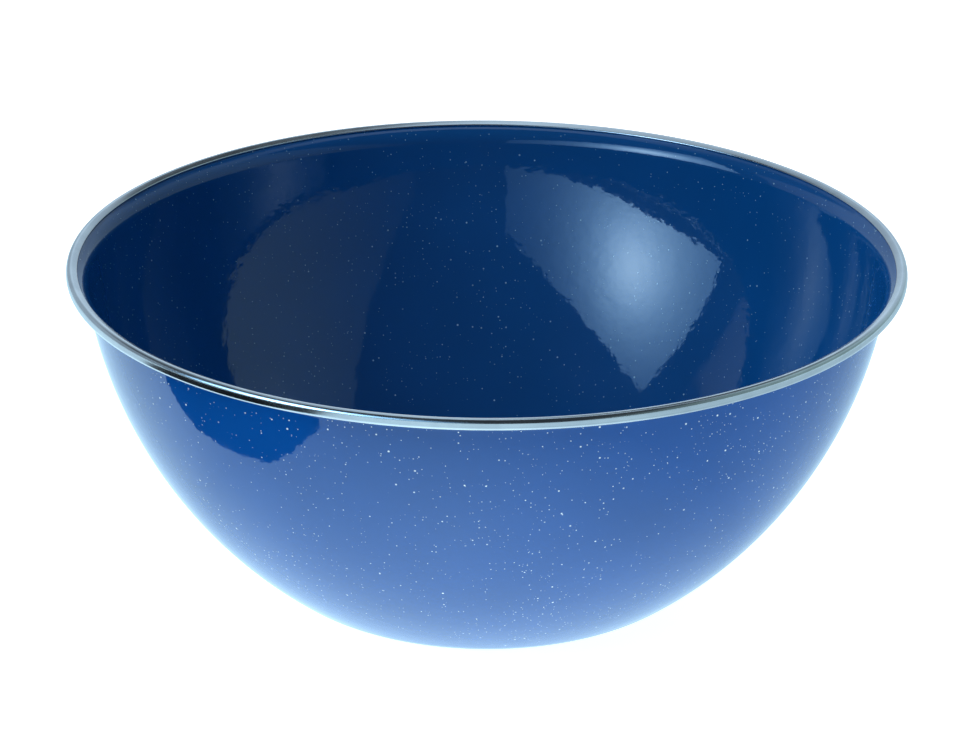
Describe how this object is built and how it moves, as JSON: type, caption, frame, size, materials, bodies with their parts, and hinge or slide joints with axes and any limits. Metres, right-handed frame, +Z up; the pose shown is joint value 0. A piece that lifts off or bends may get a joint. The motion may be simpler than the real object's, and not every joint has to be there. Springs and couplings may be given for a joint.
{
  "type": "enamel basin bowl",
  "caption": "Deep round mixing basin of speckled enamelled steel with a flat base, a flared lip and a rolled polished rim band.",
  "frame": {"origin": "middle of the flat base, on the surface that the bowl stands on", "axes": "+Z up along the bowl's axis of turning; X and Y lie in the base"},
  "size_m": [0.3, 0.3, 0.124],
  "materials": {
    "sheet_steel": "pickled sheet, hidden under the enamel",
    "ground_coat": "dark fired ground coat, hidden under the cover coat",
    "outer_enamel": "glossy cobalt blue enamel with small white flecks",
    "inner_enamel": "glossy cobalt blue enamel with sparse white flecks",
    "rim_steel": "polished stainless steel"
  },
  "bodies": {
    "root": {"steel_shell": "sheet_steel", "outer_ground_coat": "ground_coat", "inner_ground_coat": "ground_coat", "outer_enamel": "outer_enamel", "inner_enamel": "inner_enamel", "rim_band": "rim_steel"}
  },
  "joints": []
}
